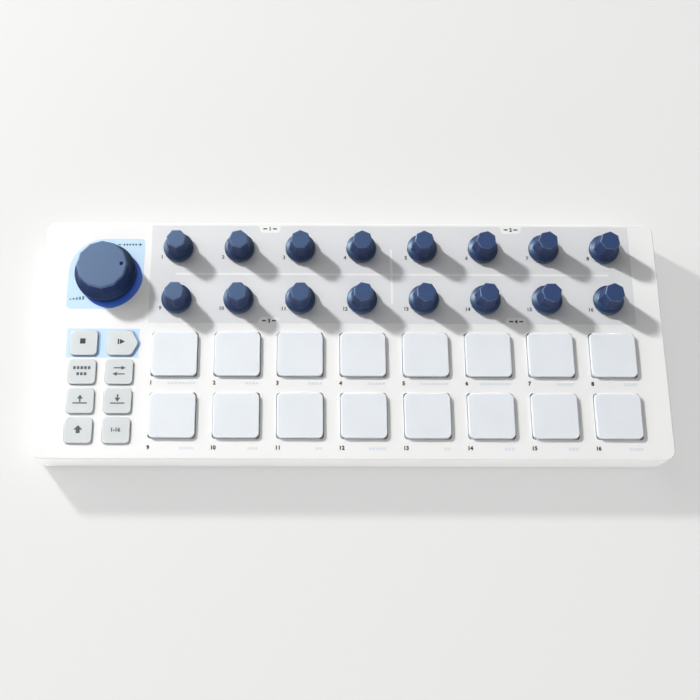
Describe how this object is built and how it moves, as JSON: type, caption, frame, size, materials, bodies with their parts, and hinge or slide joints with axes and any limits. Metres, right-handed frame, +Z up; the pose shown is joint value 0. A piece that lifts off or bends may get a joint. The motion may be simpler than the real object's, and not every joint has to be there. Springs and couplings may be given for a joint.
{
  "type": "pad controller",
  "caption": "Desktop music controller with rows of faceted turning knobs, square pressure pads, a block of keys and one large knob in a flat moulded case.",
  "frame": {"origin": "middle of the footprint, on the table under the feet", "axes": "+X to the right along the long side, +Y to the back, +Z up out of the panel"},
  "size_m": [0.311, 0.123, 0.033],
  "materials": {
    "case_white": "moulded ABS, fine satin texture",
    "base_plate_coat": "powder-coated steel sheet",
    "screw_steel": "blackened or zinc-plated steel",
    "foot_rubber": "soft black rubber",
    "circuit_board": "green solder mask on glass-fibre board",
    "encoder_metal": "steel and plastic encoder body",
    "frame_plastic": "moulded ABS",
    "sensor_film": "printed polyester film",
    "light_package": "clear epoxy over white",
    "silicone": "matt translucent-white silicone",
    "socket_plastic": "black nylon",
    "socket_metal": "nickel-plated steel",
    "chip_plastic": "black epoxy",
    "capacitor_can": "drawn aluminium can",
    "knob_finish": "moulded slate-blue plastic, semi-gloss",
    "main_knob_finish": "moulded slate-blue plastic, semi-gloss"
  },
  "bodies": {
    "case": {"top_case": "case_white", "base_plate": "base_plate_coat", "plate_screws": "screw_steel", "rubber_feet": "foot_rubber", "main_board": "circuit_board", "board_screws": "screw_steel", "knob_encoders": "encoder_metal", "main_encoder": "encoder_metal", "pad_frame": "frame_plastic", "pad_sensor_sheet": "sensor_film", "pad_lights": "light_package", "key_mat": "silicone", "jack_sockets": "socket_plastic", "usb_socket": "socket_metal", "lock_plate": "screw_steel", "logic_chips": "chip_plastic", "capacitors": "capacitor_can"},
    "main_knob": {"main_knob": "main_knob_finish"},
    "knob_01": {"knob_01": "knob_finish"},
    "pad_01": {"pad_01": "silicone"},
    "key_1": {"key_1": "silicone"},
    "key_2": {"key_2": "silicone"},
    "knob_02": {"knob_02": "knob_finish"},
    "knob_03": {"knob_03": "knob_finish"},
    "knob_04": {"knob_04": "knob_finish"},
    "knob_05": {"knob_05": "knob_finish"},
    "knob_06": {"knob_06": "knob_finish"},
    "knob_07": {"knob_07": "knob_finish"},
    "knob_08": {"knob_08": "knob_finish"},
    "knob_09": {"knob_09": "knob_finish"},
    "knob_10": {"knob_10": "knob_finish"},
    "knob_11": {"knob_11": "knob_finish"},
    "knob_12": {"knob_12": "knob_finish"},
    "knob_13": {"knob_13": "knob_finish"},
    "knob_14": {"knob_14": "knob_finish"},
    "knob_15": {"knob_15": "knob_finish"},
    "knob_16": {"knob_16": "knob_finish"},
    "pad_02": {"pad_02": "silicone"},
    "pad_03": {"pad_03": "silicone"},
    "pad_04": {"pad_04": "silicone"},
    "pad_05": {"pad_05": "silicone"},
    "pad_06": {"pad_06": "silicone"},
    "pad_07": {"pad_07": "silicone"},
    "pad_08": {"pad_08": "silicone"},
    "pad_09": {"pad_09": "silicone"},
    "pad_10": {"pad_10": "silicone"},
    "pad_11": {"pad_11": "silicone"},
    "pad_12": {"pad_12": "silicone"},
    "pad_13": {"pad_13": "silicone"},
    "pad_14": {"pad_14": "silicone"},
    "pad_15": {"pad_15": "silicone"},
    "pad_16": {"pad_16": "silicone"},
    "key_3": {"key_3": "silicone"},
    "key_4": {"key_4": "silicone"},
    "key_5": {"key_5": "silicone"},
    "key_6": {"key_6": "silicone"},
    "key_7": {"key_7": "silicone"},
    "key_8": {"key_8": "silicone"}
  },
  "joints": [
    {"name": "main_knob_turn", "type": "hinge", "parent": "case", "child": "main_knob", "pos_m": [-0.1241, 0.0335, 0.0201], "axis": [0, 0, 1], "continuous": true},
    {"name": "knob_01_turn", "type": "hinge", "parent": "case", "child": "knob_01", "pos_m": [-0.0878, 0.0473, 0.0201], "axis": [0, 0, 1], "continuous": true},
    {"name": "pad_01_press", "type": "slide", "parent": "case", "child": "pad_01", "axis": [0, 0, -1], "range_m": [0, 0.0006], "stiffness_N_per_m": 2000, "springref_m": -0.0003},
    {"name": "key_1_press", "type": "slide", "parent": "case", "child": "key_1", "axis": [0, 0, -1], "range_m": [0, 0.0008], "stiffness_N_per_m": 1200, "springref_m": -0.0003},
    {"name": "key_2_press", "type": "slide", "parent": "case", "child": "key_2", "axis": [0, 0, -1], "range_m": [0, 0.0008], "stiffness_N_per_m": 1200, "springref_m": -0.0003},
    {"name": "knob_02_turn", "type": "hinge", "parent": "case", "child": "knob_02", "pos_m": [-0.0568, 0.0473, 0.0201], "axis": [0, 0, 1], "continuous": true},
    {"name": "knob_03_turn", "type": "hinge", "parent": "case", "child": "knob_03", "pos_m": [-0.0258, 0.0473, 0.0201], "axis": [0, 0, 1], "continuous": true},
    {"name": "knob_04_turn", "type": "hinge", "parent": "case", "child": "knob_04", "pos_m": [0.0052, 0.0473, 0.0201], "axis": [0, 0, 1], "continuous": true},
    {"name": "knob_05_turn", "type": "hinge", "parent": "case", "child": "knob_05", "pos_m": [0.0362, 0.0473, 0.0201], "axis": [0, 0, 1], "continuous": true},
    {"name": "knob_06_turn", "type": "hinge", "parent": "case", "child": "knob_06", "pos_m": [0.0672, 0.0473, 0.0201], "axis": [0, 0, 1], "continuous": true},
    {"name": "knob_07_turn", "type": "hinge", "parent": "case", "child": "knob_07", "pos_m": [0.0982, 0.0473, 0.0201], "axis": [0, 0, 1], "continuous": true},
    {"name": "knob_08_turn", "type": "hinge", "parent": "case", "child": "knob_08", "pos_m": [0.1292, 0.0473, 0.0201], "axis": [0, 0, 1], "continuous": true},
    {"name": "knob_09_turn", "type": "hinge", "parent": "case", "child": "knob_09", "pos_m": [-0.0878, 0.0197, 0.0201], "axis": [0, 0, 1], "continuous": true},
    {"name": "knob_10_turn", "type": "hinge", "parent": "case", "child": "knob_10", "pos_m": [-0.0568, 0.0197, 0.0201], "axis": [0, 0, 1], "continuous": true},
    {"name": "knob_11_turn", "type": "hinge", "parent": "case", "child": "knob_11", "pos_m": [-0.0258, 0.0197, 0.0201], "axis": [0, 0, 1], "continuous": true},
    {"name": "knob_12_turn", "type": "hinge", "parent": "case", "child": "knob_12", "pos_m": [0.0052, 0.0197, 0.0201], "axis": [0, 0, 1], "continuous": true},
    {"name": "knob_13_turn", "type": "hinge", "parent": "case", "child": "knob_13", "pos_m": [0.0362, 0.0197, 0.0201], "axis": [0, 0, 1], "continuous": true},
    {"name": "knob_14_turn", "type": "hinge", "parent": "case", "child": "knob_14", "pos_m": [0.0672, 0.0197, 0.0201], "axis": [0, 0, 1], "continuous": true},
    {"name": "knob_15_turn", "type": "hinge", "parent": "case", "child": "knob_15", "pos_m": [0.0982, 0.0197, 0.0201], "axis": [0, 0, 1], "continuous": true},
    {"name": "knob_16_turn", "type": "hinge", "parent": "case", "child": "knob_16", "pos_m": [0.1292, 0.0197, 0.0201], "axis": [0, 0, 1], "continuous": true},
    {"name": "pad_02_press", "type": "slide", "parent": "case", "child": "pad_02", "axis": [0, 0, -1], "range_m": [0, 0.0006], "stiffness_N_per_m": 2000, "springref_m": -0.0003},
    {"name": "pad_03_press", "type": "slide", "parent": "case", "child": "pad_03", "axis": [0, 0, -1], "range_m": [0, 0.0006], "stiffness_N_per_m": 2000, "springref_m": -0.0003},
    {"name": "pad_04_press", "type": "slide", "parent": "case", "child": "pad_04", "axis": [0, 0, -1], "range_m": [0, 0.0006], "stiffness_N_per_m": 2000, "springref_m": -0.0003},
    {"name": "pad_05_press", "type": "slide", "parent": "case", "child": "pad_05", "axis": [0, 0, -1], "range_m": [0, 0.0006], "stiffness_N_per_m": 2000, "springref_m": -0.0003},
    {"name": "pad_06_press", "type": "slide", "parent": "case", "child": "pad_06", "axis": [0, 0, -1], "range_m": [0, 0.0006], "stiffness_N_per_m": 2000, "springref_m": -0.0003},
    {"name": "pad_07_press", "type": "slide", "parent": "case", "child": "pad_07", "axis": [0, 0, -1], "range_m": [0, 0.0006], "stiffness_N_per_m": 2000, "springref_m": -0.0003},
    {"name": "pad_08_press", "type": "slide", "parent": "case", "child": "pad_08", "axis": [0, 0, -1], "range_m": [0, 0.0006], "stiffness_N_per_m": 2000, "springref_m": -0.0003},
    {"name": "pad_09_press", "type": "slide", "parent": "case", "child": "pad_09", "axis": [0, 0, -1], "range_m": [0, 0.0006], "stiffness_N_per_m": 2000, "springref_m": -0.0003},
    {"name": "pad_10_press", "type": "slide", "parent": "case", "child": "pad_10", "axis": [0, 0, -1], "range_m": [0, 0.0006], "stiffness_N_per_m": 2000, "springref_m": -0.0003},
    {"name": "pad_11_press", "type": "slide", "parent": "case", "child": "pad_11", "axis": [0, 0, -1], "range_m": [0, 0.0006], "stiffness_N_per_m": 2000, "springref_m": -0.0003},
    {"name": "pad_12_press", "type": "slide", "parent": "case", "child": "pad_12", "axis": [0, 0, -1], "range_m": [0, 0.0006], "stiffness_N_per_m": 2000, "springref_m": -0.0003},
    {"name": "pad_13_press", "type": "slide", "parent": "case", "child": "pad_13", "axis": [0, 0, -1], "range_m": [0, 0.0006], "stiffness_N_per_m": 2000, "springref_m": -0.0003},
    {"name": "pad_14_press", "type": "slide", "parent": "case", "child": "pad_14", "axis": [0, 0, -1], "range_m": [0, 0.0006], "stiffness_N_per_m": 2000, "springref_m": -0.0003},
    {"name": "pad_15_press", "type": "slide", "parent": "case", "child": "pad_15", "axis": [0, 0, -1], "range_m": [0, 0.0006], "stiffness_N_per_m": 2000, "springref_m": -0.0003},
    {"name": "pad_16_press", "type": "slide", "parent": "case", "child": "pad_16", "axis": [0, 0, -1], "range_m": [0, 0.0006], "stiffness_N_per_m": 2000, "springref_m": -0.0003},
    {"name": "key_3_press", "type": "slide", "parent": "case", "child": "key_3", "axis": [0, 0, -1], "range_m": [0, 0.0008], "stiffness_N_per_m": 1200, "springref_m": -0.0003},
    {"name": "key_4_press", "type": "slide", "parent": "case", "child": "key_4", "axis": [0, 0, -1], "range_m": [0, 0.0008], "stiffness_N_per_m": 1200, "springref_m": -0.0003},
    {"name": "key_5_press", "type": "slide", "parent": "case", "child": "key_5", "axis": [0, 0, -1], "range_m": [0, 0.0008], "stiffness_N_per_m": 1200, "springref_m": -0.0003},
    {"name": "key_6_press", "type": "slide", "parent": "case", "child": "key_6", "axis": [0, 0, -1], "range_m": [0, 0.0008], "stiffness_N_per_m": 1200, "springref_m": -0.0003},
    {"name": "key_7_press", "type": "slide", "parent": "case", "child": "key_7", "axis": [0, 0, -1], "range_m": [0, 0.0008], "stiffness_N_per_m": 1200, "springref_m": -0.0003},
    {"name": "key_8_press", "type": "slide", "parent": "case", "child": "key_8", "axis": [0, 0, -1], "range_m": [0, 0.0008], "stiffness_N_per_m": 1200, "springref_m": -0.0003}
  ]
}
